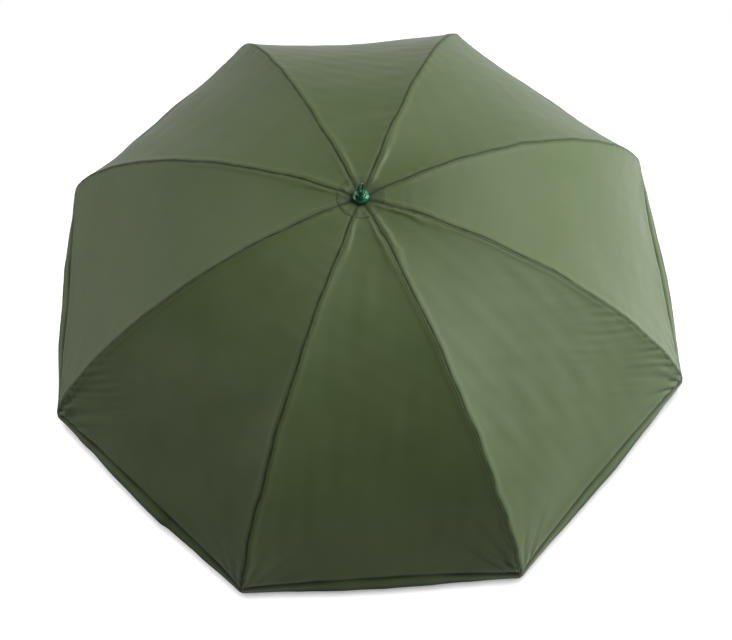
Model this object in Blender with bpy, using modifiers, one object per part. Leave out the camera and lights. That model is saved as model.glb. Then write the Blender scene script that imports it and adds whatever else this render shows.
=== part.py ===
# Fishing umbrella: a domed eight-panel canopy on folding ribs, carried by a
# telescopic pole with a tilt joint and a ground spike. Metres, +Z up, with the
# ground at z = 0 and the pole along +Z.
from math import atan2, cos, hypot, pi, radians, sin, tan

import bmesh
import bpy
from mathutils import Matrix, Vector

# Canopy, as the photographed dome
rim_radius = 1.05
canopy_depth = 0.53
shoulder_reach = 0.625
shoulder_rise = 0.075
brim_reach = 1.048
brim_height = 0.112
panel_belly = 0.020
hem_flare = 0.018
hem_rise = 0.010
cloth_thickness = 0.0008
seam_half_gap = 0.0004
panel_start_radius = 0.016
first_rib_azimuth = radians(68.74)
rib_count = 8
panel_columns = 8
panel_rows = 14

# Crown patch
patch_radius = 0.070
patch_hole_radius = 0.0135
patch_rows = 3

# Clearances
seat_gap = 0.0003
pivot_gap = 0.00036
sliding_gap = 0.0005
overrun = 0.002

# Ribs
rib_radius = 0.00225
rib_room_radius = 0.0034
rib_inner_stations = 5
rib_outer_stations = 7
rib_eye_radius = 0.0032
rib_eye_length = 0.016
rib_eye_overlap = 0.005
rib_end_setback = 0.012
tip_length = 0.024
tip_radius = 0.0031
tip_nose = 0.003
tip_nose_shares = ((0.55, 0.8), (0.9, 0.4))
bracket_reach = 0.60
bracket_drop = 0.010
bracket_length = 0.024
bracket_radius = 0.0031
bracket_straight = 0.030
tab_thickness = 0.005
tab_radius = 0.0036
pivot_pin_radius = 0.0015

# Hubs, where eight blades turn on a ring of wire
hub_pivot_radius = 0.024
hub_disc_radius = 0.029
hub_core_radius = 0.0185
hub_sleeve_radius = 0.0155
hub_wire_radius = 0.001
hub_half_thickness = 0.006
blade_thickness = 0.0024
hub_chamfer = 0.0008
crown_cover = 0.0025
crown_skirt = 0.032
runner_barrel_length = 0.055
runner_grip_count = 3
runner_grip_depth = 0.0012
runner_grip_pitch = 0.010
runner_foot_radius = 0.0185
runner_foot_height = 0.005

# Stretchers
strut_width = 0.0076
strut_height = 0.007
strut_wall = 0.001
strut_fork_depth = 0.008
strut_crimp_length = 0.030
strut_solid_end = 0.004
strut_blade_setback = 0.016
rivet_head_radius = 0.0027
rivet_head_height = 0.0008

# Pole
tube_radius = 0.011
tube_wall = 0.0012
lower_tube_length = 0.62
tube_overlap = 0.20
middle_tube_length = 0.56
upper_tube_length = 1.25
edge_chamfer = 0.001
plug_depth = 0.018
plug_head = 0.003

# Spring catch in the upper tube
catch_width = 0.004
catch_strip = 0.001
catch_length = 0.060
catch_nose_reach = 0.004
catch_nose_height = 0.014
catch_nose_land = 0.003
catch_tail = 0.004
catch_window_margin = 0.0008

# Tilt joint
tilt_sleeve_radius = 0.0165
tilt_sleeve_length = 0.044
tilt_pivot_rise = 0.030
tilt_tongue_radius = 0.013
tilt_tongue_thickness = 0.010
tilt_ear_thickness = 0.005
tilt_bolt_radius = 0.004
tilt_bolt_head_radius = 0.0075
tilt_bolt_head_height = 0.005
tilt_cap = 0.008
tilt_bridge = 0.007
tilt_root = 0.004
knob_hub_radius = 0.009
knob_hub_height = 0.014
knob_span = 0.046
knob_wing_thickness = 0.005
knob_wing_height = 0.022
knob_wing_root = 0.003
knob_wing_flare_share = 0.45
knob_wing_waist_share = 0.55

# Height clamp
clamp_radius = 0.0175
clamp_length = 0.046
clamp_lip = 0.004
clamp_boss_radius = 0.0085
clamp_boss_reach = 0.030
clamp_boss_root = 0.0145
screw_radius = 0.004

# Ground spike
ground_flange_radius = 0.030
ground_flange_height = 0.006
ground_socket_radius = 0.0155
ground_socket_length = 0.066
spike_radius = 0.008
spike_length = 0.240
spike_point_length = 0.110
spike_tip_radius = 0.0012
spike_root = 0.040

# Finial
finial_radius = 0.026
finial_dome_height = 0.022
finial_rim_height = 0.004
finial_neck_radius = 0.0125
finial_neck_top_radius = 0.0085
finial_neck_height = 0.036
finial_neck_round = 0.002
finial_stud_radius = 0.005
finial_stud_length = 0.022
eye_half_width = 0.0060
eye_half_height = 0.0170
eye_wire_radius = 0.0020
eye_centre_height = 0.0535
eye_turn = radians(12)

# Facets
tube_sides = 20
turned_sides = 20
wire_sides = 8
ring_segments = 16
pin_sides = 8
arc_steps = 6
boss_sides = 16

parts = bpy.data.collections.new("fishing_umbrella")
cutters = bpy.data.collections.new("cutters")


def start_scene():
    for item in list(bpy.data.objects):
        bpy.data.objects.remove(item, do_unlink=True)
    bpy.context.scene.collection.children.link(parts)
    bpy.context.scene.collection.children.link(cutters)


def finish(name, colour, roughness, metallic=0.0):
    material = bpy.data.materials.new(name)
    material.use_nodes = True
    shader = material.node_tree.nodes["Principled BSDF"]
    shader.inputs["Base Color"].default_value = (*colour, 1.0)
    shader.inputs["Roughness"].default_value = roughness
    shader.inputs["Metallic"].default_value = metallic
    return material


def smooth(mesh):
    mesh.shade_smooth()
    mesh.set_sharp_from_angle(angle=radians(35))


def add_object(name, mesh):
    item = bpy.data.objects.new(name, mesh)
    parts.objects.link(item)
    return item


def as_cutter(item):
    for collection in list(item.users_collection):
        collection.objects.unlink(item)
    cutters.objects.link(item)
    item.hide_render = True
    item.display_type = "WIRE"
    return item


def evaluated_mesh(item):
    """The finished mesh of an object, with its caps and doubles welded."""
    bpy.context.view_layer.update()
    graph = bpy.context.evaluated_depsgraph_get()
    mesh = bpy.data.meshes.new_from_object(item.evaluated_get(graph), depsgraph=graph)
    bm = bmesh.new()
    bm.from_mesh(mesh)
    bmesh.ops.remove_doubles(bm, verts=bm.verts, dist=1e-6)
    bm.to_mesh(mesh)
    bm.free()
    return mesh


def made_mesh(item, name):
    """Turns a curve object into a mesh object in the same place."""
    mesh = evaluated_mesh(item)
    solid = add_object(name, mesh)
    solid.matrix_world = item.matrix_world.copy()
    bpy.data.objects.remove(item, do_unlink=True)
    solid.name = name
    return solid


def turned(name, outline, sides, closed=False):
    """A profile of (radius, height) points swept round the Z axis."""
    mesh = bpy.data.meshes.new(name)
    bm = bmesh.new()
    corners = [bm.verts.new((radius, 0, height)) for radius, height in outline]
    for first, second in zip(corners, corners[1:]):
        bm.edges.new((first, second))
    if closed:
        bm.edges.new((corners[-1], corners[0]))
    bm.to_mesh(mesh)
    bm.free()
    item = add_object(name, mesh)
    screw = item.modifiers.new("turn", "SCREW")
    screw.angle = 2 * pi
    screw.steps = sides
    screw.render_steps = sides
    screw.use_merge_vertices = True
    screw.merge_threshold = 1e-6
    screw.use_smooth_shade = False
    solid_mesh = evaluated_mesh(item)
    bpy.data.objects.remove(item, do_unlink=True)
    smooth(solid_mesh)
    return add_object(name, solid_mesh)


def tube(name, outer_radius, inner_radius, bottom, top, sides=tube_sides):
    outline = [
        (outer_radius, top),
        (outer_radius, bottom),
        (inner_radius, bottom),
        (inner_radius, top),
    ]
    return turned(name, outline, sides, closed=True)


def plate(name, outline, thickness, holes=()):
    """A flat outline in X and Z, as thick as given along Y, with any holes."""
    curve = bpy.data.curves.new(name, "CURVE")
    curve.dimensions = "2D"
    curve.fill_mode = "BOTH"
    curve.extrude = thickness / 2
    for loop in (outline, *holes):
        spline = curve.splines.new("POLY")
        spline.points.add(len(loop) - 1)
        for point, (across, up) in zip(spline.points, loop):
            point.co = (across, up, 0, 1)
        spline.use_cyclic_u = True
    item = add_object(name, curve)
    item.rotation_euler = (pi / 2, 0, 0)
    solid = made_mesh(item, name)
    apply_place(solid)
    return solid


def apply_place(item):
    """Moves an object's own place into its mesh."""
    item.data.transform(item.matrix_basis)
    item.matrix_basis.identity()
    return item


def circle(centre, radius, sides):
    turns = [2 * pi * k / sides for k in range(sides)]
    return [(centre[0] + radius * cos(turn), centre[1] + radius * sin(turn)) for turn in turns]


def arc(centre, radius, start, end, steps=arc_steps):
    turns = [start + (end - start) * k / steps for k in range(steps + 1)]
    return [(centre[0] + radius * cos(turn), centre[1] + radius * sin(turn)) for turn in turns]


def box(name, low, high):
    mesh = bpy.data.meshes.new(name)
    bm = bmesh.new()
    bmesh.ops.create_cube(bm, size=1)
    size = Vector(high) - Vector(low)
    bmesh.ops.scale(bm, verts=bm.verts, vec=size)
    bmesh.ops.translate(bm, verts=bm.verts, vec=Vector(low) + size / 2)
    bm.to_mesh(mesh)
    bm.free()
    return add_object(name, mesh)


def rod(name, radius, start, end, sides):
    """A straight round bar between two points."""
    start = Vector(start)
    along = Vector(end) - start
    mesh = bpy.data.meshes.new(name)
    bm = bmesh.new()
    bmesh.ops.create_cone(
        bm, cap_ends=True, segments=sides, radius1=radius, radius2=radius, depth=along.length
    )
    bm.to_mesh(mesh)
    bm.free()
    mesh.transform(along.to_track_quat("Z", "Y").to_matrix().to_4x4())
    for vertex in mesh.vertices:
        vertex.co += start + along / 2
    smooth(mesh)
    return add_object(name, mesh)


def wire(name, points, radius, cyclic=False):
    """A round bar that follows the given points."""
    curve = bpy.data.curves.new(name, "CURVE")
    curve.dimensions = "3D"
    curve.bevel_depth = radius
    curve.bevel_resolution = 2
    curve.use_fill_caps = True
    spline = curve.splines.new("POLY")
    spline.points.add(len(points) - 1)
    for point, place in zip(spline.points, points):
        point.co = (*place, 1)
    spline.use_cyclic_u = cyclic
    return made_mesh(add_object(name, curve), name)


def ring(name, sides):
    """The wire ring that the eight blades of a hub turn on, at z = 0."""
    bpy.ops.mesh.primitive_torus_add(
        major_segments=ring_segments,
        minor_segments=sides,
        major_radius=hub_pivot_radius / cos(pi / ring_segments),
        minor_radius=hub_wire_radius,
    )
    made = bpy.context.object
    mesh = made.data.copy()
    bpy.data.objects.remove(made, do_unlink=True)
    smooth(mesh)
    return add_object(name, mesh)


def boolean(item, other, operation):
    as_cutter(other)
    step = item.modifiers.new(other.name, "BOOLEAN")
    step.operation = operation
    step.solver = "EXACT"
    step.object = other
    return item


def cut(item, other):
    return boolean(item, other, "DIFFERENCE")


def join(item, other):
    return boolean(item, other, "UNION")


def settled(item):
    """Applies an object's modifiers, so that copies can share its mesh."""
    mesh = evaluated_mesh(item)
    smooth(mesh)
    name = item.name
    for step in item.modifiers:
        bpy.data.objects.remove(step.object, do_unlink=True)
    bpy.data.objects.remove(item, do_unlink=True)
    mesh.name = name
    return mesh


def empty(name, place, parent=None):
    item = bpy.data.objects.new(name, None)
    parts.objects.link(item)
    item.empty_display_size = tube_radius
    put(item, place, parent)
    return item


world_places = {}


def put(item, place, parent=None):
    """Places an object at a point of the world, under an unturned parent."""
    place = Vector(place)
    world_places[item.name] = place
    item.parent = parent
    item.location = place - (world_places[parent.name] if parent else Vector())
    return item


def dress(item, material):
    item.data.materials.clear()
    item.data.materials.append(material)
    return item


# Shape of the canopy over a rib: a curve from the apex to the rim
def canopy_point(share):
    """Radius and height above the rim at a share of the curve."""
    rest = 1 - share
    weights = (rest**3, 3 * rest**2 * share, 3 * rest * share**2, share**3)
    reaches = (0, shoulder_reach, brim_reach, rim_radius)
    heights = (canopy_depth, canopy_depth + shoulder_rise, brim_height, 0)
    reach = sum(weight * value for weight, value in zip(weights, reaches))
    height = sum(weight * value for weight, value in zip(weights, heights))
    return reach, height


def canopy_slope(share):
    """Angle of the curve below level, going outwards."""
    step = 1e-4
    inner = canopy_point(max(share - step, 0))
    outer = canopy_point(min(share + step, 1))
    return atan2(inner[1] - outer[1], outer[0] - inner[0])


def share_at(reach):
    low, high = 0.0, 1.0
    for _ in range(50):
        middle = (low + high) / 2
        if canopy_point(middle)[0] < reach:
            low = middle
        else:
            high = middle
    return (low + high) / 2


def canopy_height(reach):
    return canopy_point(share_at(reach))[1]


half_step = pi / rib_count
edge_lean = half_step + 4 * panel_belly / (2 * rim_radius * sin(half_step))
rib_depth = cloth_thickness / 2 + (rib_room_radius + seat_gap) / cos(edge_lean)


def rib_point(share, extra=0.0):
    """Centre line of a rib, under the canopy, in radius and height above the rim."""
    reach, height = canopy_point(share)
    slope = canopy_slope(share)
    depth = rib_depth + extra
    return reach - depth * sin(slope), height - depth * cos(slope)


def rib_share_at(reach):
    low, high = 0.0, 1.0
    for _ in range(50):
        middle = (low + high) / 2
        if rib_point(middle)[0] < reach:
            low = middle
        else:
            high = middle
    return (low + high) / 2


# Heights up the pole
lower_tube_bottom = spike_root + 2 * seat_gap
lower_tube_top = lower_tube_bottom + lower_tube_length
middle_tube_bottom = lower_tube_top - tube_overlap
middle_tube_top = middle_tube_bottom + middle_tube_length
tilt_height = middle_tube_top + tilt_pivot_rise
upper_tube_bottom = tilt_height + tilt_pivot_rise
upper_tube_top = upper_tube_bottom + upper_tube_length
hub_height = upper_tube_top + hub_wire_radius
rim_height = hub_height - rib_point(rib_share_at(hub_pivot_radius))[1]
apex_height = rim_height + canopy_depth

# Folding linkage: rib pivot to bracket pivot is as long as the stretcher
bracket_share = rib_share_at(bracket_reach)
bracket_pivot = rib_point(bracket_share, bracket_drop)
bracket_slope = canopy_slope(bracket_share)
linkage_reach = bracket_pivot[0] - hub_pivot_radius
linkage_drop = hub_height - (rim_height + bracket_pivot[1])
stretcher_length = hypot(linkage_reach, linkage_drop)
stretcher_slope = atan2(linkage_drop, linkage_reach)
runner_height = hub_height - 2 * linkage_drop

middle_tube_inner = tube_radius + seat_gap
middle_tube_radius = middle_tube_inner + tube_wall
tube_inner = tube_radius - tube_wall
clamp_screw_height = middle_tube_bottom - seat_gap - clamp_lip + clamp_length / 2
tilt_ear_outer = tilt_tongue_thickness / 2 + seat_gap + tilt_ear_thickness
catch_top = runner_height - runner_barrel_length - seat_gap
pin_hole_radius = pivot_pin_radius + pivot_gap
wire_hole_radius = hub_wire_radius + pivot_gap
hub_slot_width = blade_thickness + 2 * seat_gap


def rib_azimuth(number):
    return first_rib_azimuth + 2 * half_step * number


def in_rib_frame(point):
    """Radius and height above the rim, seen from the rib's pivot on the crown."""
    return point[0] - hub_pivot_radius, rim_height + point[1] - hub_height


def distance(first, second):
    return hypot(first[0] - second[0], first[1] - second[1])


def share_before(share, length):
    """Share of the rib curve that lies a length before the given one."""
    end = rib_point(share)
    low, high = 0.0, share
    for _ in range(50):
        middle = (low + high) / 2
        if distance(rib_point(middle), end) > length:
            low = middle
        else:
            high = middle
    return (low + high) / 2


def share_after(share, length):
    """Share of the rib curve that lies a length after the given one."""
    start = rib_point(share)
    low, high = share, 1.0
    for _ in range(50):
        middle = (low + high) / 2
        if distance(rib_point(middle), start) < length:
            low = middle
        else:
            high = middle
    return (low + high) / 2


def rib_line():
    """Points of a rib's centre line, straight in its bracket and in its tip."""
    start = rib_share_at(hub_pivot_radius + rib_eye_length - rib_eye_overlap)
    bracket_in = share_before(bracket_share, bracket_straight / 2)
    bracket_out = share_after(bracket_share, bracket_straight / 2)
    last = share_before(1, tip_length + rib_end_setback)
    shares = [start + (bracket_in - start) * k / rib_inner_stations for k in range(rib_inner_stations + 1)]
    outer = (last - bracket_out) / rib_outer_stations
    shares += [bracket_out + outer * k for k in range(rib_outer_stations + 1)]
    line = [in_rib_frame(rib_point(share)) for share in shares]
    end = in_rib_frame(rib_point(1))
    back = rib_end_setback / distance(line[-1], end)
    line.append((end[0] + (line[-1][0] - end[0]) * back, end[1] + (line[-1][1] - end[1]) * back))
    return line


def build_rib_mesh():
    """Round rod with a flat eye that turns on the crown's wire."""
    line = rib_line()
    body = wire("rib", [(across, 0, up) for across, up in line], rib_radius)
    slope = atan2(line[1][1] - line[0][1], line[1][0] - line[0][0])
    along = Vector((cos(slope), sin(slope))) * rib_eye_length
    side = Vector((-sin(slope), cos(slope))) * rib_radius
    outline = arc((0, 0), rib_eye_radius, slope + pi / 2, slope + 3 * pi / 2)
    outline += [tuple(along - side), tuple(along + side)]
    hole = circle((0, 0), wire_hole_radius, wire_sides)
    eye = plate("rib_eye", outline, blade_thickness, [hole])
    return settled(join(body, eye))


def build_bracket_mesh():
    """Band pressed round a rib, with the tab that a stretcher is pinned to."""
    band = tube("rib_bracket", bracket_radius, rib_radius + seat_gap, 0, bracket_length, pin_sides)
    first, second = bracket_line()
    along = Vector((second[0] - first[0], 0, second[1] - first[1])).normalized()
    middle = Vector((first[0] + second[0], 0, first[1] + second[1])) / 2
    band.rotation_euler = (0, pi / 2 + bracket_slope, 0)
    band.location = middle - along * bracket_length / 2
    apply_place(band)
    pivot = in_rib_frame(bracket_pivot)
    down = Vector((pivot[0] - middle.x, 0, pivot[1] - middle.z)).normalized()
    root = middle + down * (bracket_radius + rib_radius) / 2
    outline = arc(pivot, tab_radius, -bracket_slope - pi, -bracket_slope)
    for side in (1, -1):
        corner = root + along * side * tab_radius
        outline.append((corner.x, corner.z))
    hole = circle(pivot, pin_hole_radius, pin_sides)
    return settled(join(band, plate("rib_tab", outline, tab_thickness, [hole])))


def bracket_line():
    """Ends of the rib's straight run inside its bracket."""
    line = rib_line()
    return line[rib_inner_stations], line[rib_inner_stations + 1]


def build_tip_mesh():
    """Closed cap over the outer end of a rib, along local Z towards the rim."""
    bore = rib_radius + seat_gap
    floor = seat_gap
    outline = [(0, floor + tip_nose)]
    outline += [(tip_radius * out, floor + tip_nose * up) for out, up in tip_nose_shares]
    outline += [
        (tip_radius, floor),
        (tip_radius, floor - tip_length),
        (bore, floor - tip_length),
        (bore, floor),
        (0, floor),
    ]
    return settled(turned("rib_tip", outline, pin_sides))


def build_stretcher_mesh():
    """Channel strut from the bracket pivot, at the origin, to the runner along X."""
    half = strut_height / 2
    channel_end = stretcher_length - strut_blade_setback
    outline = arc((0, 0), half, pi / 2, 3 * pi / 2)
    outline += [(channel_end, -half), (channel_end, half)]
    body = plate("stretcher", outline, strut_width)
    inner = strut_width / 2 - strut_wall
    far = channel_end - strut_solid_end
    channel = box(
        "stretcher_channel",
        (-strut_height, -inner, -half + strut_wall),
        (far, inner, half + overrun),
    )
    cut(body, channel)
    fork = box(
        "stretcher_fork",
        (-strut_height, -inner, -half - overrun),
        (strut_fork_depth, inner, half),
    )
    cut(body, fork)
    blade_start = stretcher_length - strut_crimp_length + strut_solid_end
    outline = arc((stretcher_length, 0), rib_eye_radius, -pi / 2, pi / 2)
    outline += [(blade_start, rib_eye_radius), (blade_start, -rib_eye_radius)]
    hole = circle((stretcher_length, 0), wire_hole_radius, wire_sides)
    join(body, plate("stretcher_blade", outline, blade_thickness, [hole]))
    reach = strut_width / 2 + rivet_head_height
    join(body, rod("stretcher_rivet", pivot_pin_radius, (0, -reach, 0), (0, reach, 0), pin_sides))
    for side in (-1, 1):
        name = "stretcher_rivet_head_left" if side < 0 else "stretcher_rivet_head_right"
        start = (0, side * (strut_width / 2 - strut_wall / 2), 0)
        join(body, rod(name, rivet_head_radius, start, (0, side * reach, 0), wire_sides))
    return settled(body)


def panel_point(share, across):
    """Cloth surface between two ribs, across from -1 to 1, around the Z axis."""
    bow = 1 - across**2
    lift = hem_rise / (3 * brim_height) * share**4 * bow
    reach, height = canopy_point(share * (1 - lift))
    width = 2 * reach * sin(half_step)
    limit = 1 - 2 * seam_half_gap / width
    side = across * limit
    slope = canopy_slope(share)
    inwards = (panel_belly * reach / rim_radius - (panel_belly + hem_flare) * share**10) * bow
    middle = reach * cos(half_step) - inwards * sin(slope)
    return Vector((middle, side * width / 2, height - inwards * cos(slope)))


def build_panel_mesh():
    """One sewn gore of cloth from one rib, along X, to the next one."""
    mesh = bpy.data.meshes.new("canopy_panel")
    bm = bmesh.new()
    bmesh.ops.create_grid(bm, x_segments=panel_columns, y_segments=panel_rows, size=1)
    first = share_at(panel_start_radius)
    for corner in bm.verts:
        share = first + (1 - first) * (1 - corner.co.y) / 2
        corner.co = panel_point(share, corner.co.x)
    turn = Matrix.Rotation(half_step, 3, "Z")
    bmesh.ops.rotate(bm, verts=bm.verts, cent=(0, 0, 0), matrix=turn)
    offset = Vector((hub_pivot_radius, hub_pivot_radius * tan(half_step), hub_height - rim_height))
    bmesh.ops.translate(bm, verts=bm.verts, vec=-offset)
    bm.to_mesh(mesh)
    bm.free()
    item = add_object("canopy_panel", mesh)
    shell = item.modifiers.new("cloth", "SOLIDIFY")
    shell.thickness = cloth_thickness
    shell.offset = 0
    solid_mesh = evaluated_mesh(item)
    bpy.data.objects.remove(item, do_unlink=True)
    bm = bmesh.new()
    bm.from_mesh(solid_mesh)
    bmesh.ops.recalc_face_normals(bm, faces=bm.faces)
    bm.to_mesh(solid_mesh)
    bm.free()
    smooth(solid_mesh)
    return solid_mesh


def hub_disc_outline(top):
    """Outer side of a hub disc, from its top face down to its underside."""
    groove = hub_pivot_radius - hub_wire_radius - pivot_gap
    half_groove = hub_wire_radius + pivot_gap
    return [
        (hub_disc_radius - hub_chamfer, top),
        (hub_disc_radius, top - hub_chamfer),
        (hub_disc_radius, half_groove),
        (groove, half_groove),
        (groove, -half_groove),
        (hub_disc_radius, -half_groove),
        (hub_disc_radius, hub_chamfer - hub_half_thickness),
        (hub_disc_radius - hub_chamfer, -hub_half_thickness),
        (hub_sleeve_radius, -hub_half_thickness),
    ]


def cut_hub_slots(item, centre):
    """Eight radial slots for the blades, through the whole disc."""
    mesh = bpy.data.meshes.new(item.name + "_slots")
    bm = bmesh.new()
    length = hub_disc_radius - hub_core_radius + overrun
    for number in range(rib_count):
        made = bmesh.ops.create_cube(bm, size=1)["verts"]
        size = Vector((length, hub_slot_width, 4 * hub_half_thickness))
        bmesh.ops.scale(bm, verts=made, vec=size)
        bmesh.ops.translate(bm, verts=made, vec=(hub_core_radius + length / 2, 0, 0))
        turn = Matrix.Rotation(rib_azimuth(number), 3, "Z")
        bmesh.ops.rotate(bm, verts=made, cent=(0, 0, 0), matrix=turn)
    bm.to_mesh(mesh)
    bm.free()
    slots = add_object(item.name + "_slots", mesh)
    slots.location = centre
    return cut(item, slots)


def sleeve(name, outer, inner, top, floor, bottom):
    """A round cap, open below, over the top end of a tube."""
    outline = [
        (0, top),
        (outer - edge_chamfer, top),
        (outer, top - edge_chamfer),
        (outer, bottom + edge_chamfer),
        (outer - edge_chamfer, bottom),
        (inner, bottom),
        (inner, floor),
        (0, floor),
    ]
    return turned(name, outline, turned_sides)


def turned_to_x(item):
    """Turns a plate made in X and Z so that it stands in Y and Z."""
    item.rotation_euler = (0, 0, pi / 2)
    return apply_place(item)


def wing_knob(name, start, height):
    """Hub and two wings of a hand screw along X, from its inner face."""
    hub = rod(name, knob_hub_radius, (start, 0, height), (start + knob_hub_height, 0, height), boss_sides)
    root = start + knob_wing_root
    top = start + knob_wing_height
    flare = start + knob_wing_height * knob_wing_flare_share
    waist = start + knob_wing_height * knob_wing_waist_share
    inner = knob_hub_radius / 2
    half = [(root, inner), (flare, knob_span / 2), (top, knob_span / 2), (waist, inner)]
    outline = [(across, height + up) for across, up in half]
    outline += [(across, height - up) for across, up in reversed(half)]
    return join(hub, plate(name + "_wings", outline, knob_wing_thickness))


def build_ground_end(ground, plastic, steel, aluminium):
    inner = tube_radius + seat_gap
    hole = spike_radius + seat_gap
    floor = lower_tube_bottom - seat_gap
    outline = [
        (inner, ground_socket_length),
        (ground_socket_radius - edge_chamfer, ground_socket_length),
        (ground_socket_radius, ground_socket_length - edge_chamfer),
        (ground_socket_radius, 2 * ground_flange_height),
        (ground_socket_radius + ground_flange_height, ground_flange_height),
        (ground_flange_radius - edge_chamfer, ground_flange_height),
        (ground_flange_radius, ground_flange_height - edge_chamfer),
        (ground_flange_radius, 0),
        (hole, 0),
        (hole, floor),
        (inner, floor),
    ]
    socket = turned("ground_socket", outline, turned_sides, closed=True)
    put(dress(socket, plastic), (0, 0, 0), ground)

    shoulder = spike_point_length - spike_length
    outline = [
        (0, spike_root),
        (spike_radius - edge_chamfer, spike_root),
        (spike_radius, spike_root - edge_chamfer),
        (spike_radius, shoulder),
        (spike_tip_radius, -spike_length),
        (0, -spike_length),
    ]
    spike = turned("ground_spike", outline, boss_sides)
    put(dress(spike, steel), (0, 0, 0), ground)

    lower = tube("lower_tube", tube_radius, tube_inner, lower_tube_bottom, lower_tube_top)
    put(dress(lower, aluminium), (0, 0, 0), ground)
    outline = [
        (0, lower_tube_top + plug_head),
        (tube_radius - edge_chamfer, lower_tube_top + plug_head),
        (tube_radius, lower_tube_top + plug_head - edge_chamfer),
        (tube_radius, lower_tube_top + seat_gap),
        (tube_inner - seat_gap, lower_tube_top + seat_gap),
        (tube_inner - seat_gap, lower_tube_top - plug_depth),
        (0, lower_tube_top - plug_depth),
    ]
    put(dress(turned("lower_tube_plug", outline, tube_sides), plastic), (0, 0, 0), ground)


def build_middle_pole(pole, plastic, aluminium):
    clamp_bottom = middle_tube_bottom - seat_gap - clamp_lip
    middle = tube(
        "middle_tube", middle_tube_radius, middle_tube_inner, middle_tube_bottom, middle_tube_top
    )
    near = (tube_inner, 0, clamp_screw_height)
    far = (clamp_boss_reach + overrun, 0, clamp_screw_height)
    cut(middle, rod("middle_tube_hole", screw_radius + seat_gap, near, far, boss_sides))
    put(dress(middle, aluminium), (0, 0, 0), pole)

    inner = middle_tube_radius + seat_gap
    lip_inner = tube_radius + seat_gap
    lip_top = middle_tube_bottom - seat_gap
    top = clamp_bottom + clamp_length
    outline = [
        (inner, top),
        (clamp_radius - edge_chamfer, top),
        (clamp_radius, top - edge_chamfer),
        (clamp_radius, clamp_bottom + edge_chamfer),
        (clamp_radius - edge_chamfer, clamp_bottom),
        (lip_inner, clamp_bottom),
        (lip_inner, lip_top),
        (inner, lip_top),
    ]
    clamp = turned("height_clamp", outline, turned_sides, closed=True)
    root = (clamp_boss_root, 0, clamp_screw_height)
    face = (clamp_boss_reach, 0, clamp_screw_height)
    join(clamp, rod("height_clamp_boss", clamp_boss_radius, root, face, boss_sides))
    cut(clamp, rod("height_clamp_hole", screw_radius + seat_gap, near, far, boss_sides))
    put(dress(clamp, plastic), (0, 0, 0), pole)

    floor = middle_tube_top + seat_gap
    cap_top = floor + tilt_cap
    base = sleeve("tilt_base", tilt_sleeve_radius, inner, cap_top, floor, cap_top - tilt_sleeve_length)
    outline = arc((0, tilt_height), tilt_tongue_radius, 0, pi, 2 * arc_steps)
    outline += [(-tilt_tongue_radius, cap_top - tilt_root), (tilt_tongue_radius, cap_top - tilt_root)]
    hole = circle((0, tilt_height), tilt_bolt_radius + seat_gap, boss_sides)
    tongue = turned_to_x(plate("tilt_tongue", outline, tilt_tongue_thickness, [hole]))
    put(dress(join(base, tongue), plastic), (0, 0, 0), pole)


def build_height_screw(axis, plastic):
    start = clamp_boss_reach + seat_gap
    screw = wing_knob("height_screw", start, clamp_screw_height)
    nose = (tube_radius + seat_gap, 0, clamp_screw_height)
    root = (start + knob_hub_height / 2, 0, clamp_screw_height)
    join(screw, rod("height_screw_shaft", screw_radius, nose, root, boss_sides))
    put(dress(screw, plastic), (0, 0, 0), axis)


def build_tilt_head(pole, plastic, steel):
    floor = upper_tube_bottom - seat_gap
    bridge_bottom = floor - tilt_bridge
    inner = tube_radius + seat_gap
    top = bridge_bottom + tilt_sleeve_length
    outline = [
        (0, floor),
        (inner, floor),
        (inner, top),
        (tilt_sleeve_radius - edge_chamfer, top),
        (tilt_sleeve_radius, top - edge_chamfer),
        (tilt_sleeve_radius, bridge_bottom),
        (0, bridge_bottom),
    ]
    head = turned("tilt_head", outline, turned_sides)
    outline = arc((0, tilt_height), tilt_tongue_radius, pi, 2 * pi, 2 * arc_steps)
    ear_top = bridge_bottom + tilt_root
    outline += [(tilt_tongue_radius, ear_top), (-tilt_tongue_radius, ear_top)]
    hole = circle((0, tilt_height), tilt_bolt_radius + seat_gap, boss_sides)
    for side, name in ((-1, "tilt_ear_left"), (1, "tilt_ear_right")):
        ear = turned_to_x(plate(name, outline, tilt_ear_thickness, [hole]))
        ear.location.x = side * (tilt_ear_outer - tilt_ear_thickness / 2)
        join(head, apply_place(ear))
    put(dress(head, plastic), (0, 0, 0), pole)

    face = tilt_ear_outer + seat_gap
    end = face + knob_hub_height + tilt_bolt_radius
    outer = (-face - tilt_bolt_head_height, 0, tilt_height)
    inner_face = (-face, 0, tilt_height)
    root = (-face - tilt_bolt_head_height / 2, 0, tilt_height)
    bolt = rod("tilt_bolt", tilt_bolt_radius, root, (end, 0, tilt_height), boss_sides)
    join(bolt, rod("tilt_bolt_head", tilt_bolt_head_radius, outer, inner_face, 6))
    put(dress(bolt, steel), (0, 0, 0), pole)


def build_tilt_knob(axis, plastic):
    start = tilt_ear_outer + seat_gap
    knob = wing_knob("tilt_knob", start, tilt_height)
    near = (start - overrun, 0, tilt_height)
    far = (start + knob_wing_height + overrun, 0, tilt_height)
    cut(knob, rod("tilt_knob_bore", tilt_bolt_radius + seat_gap, near, far, boss_sides))
    put(dress(knob, plastic), (0, 0, 0), axis)


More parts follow.
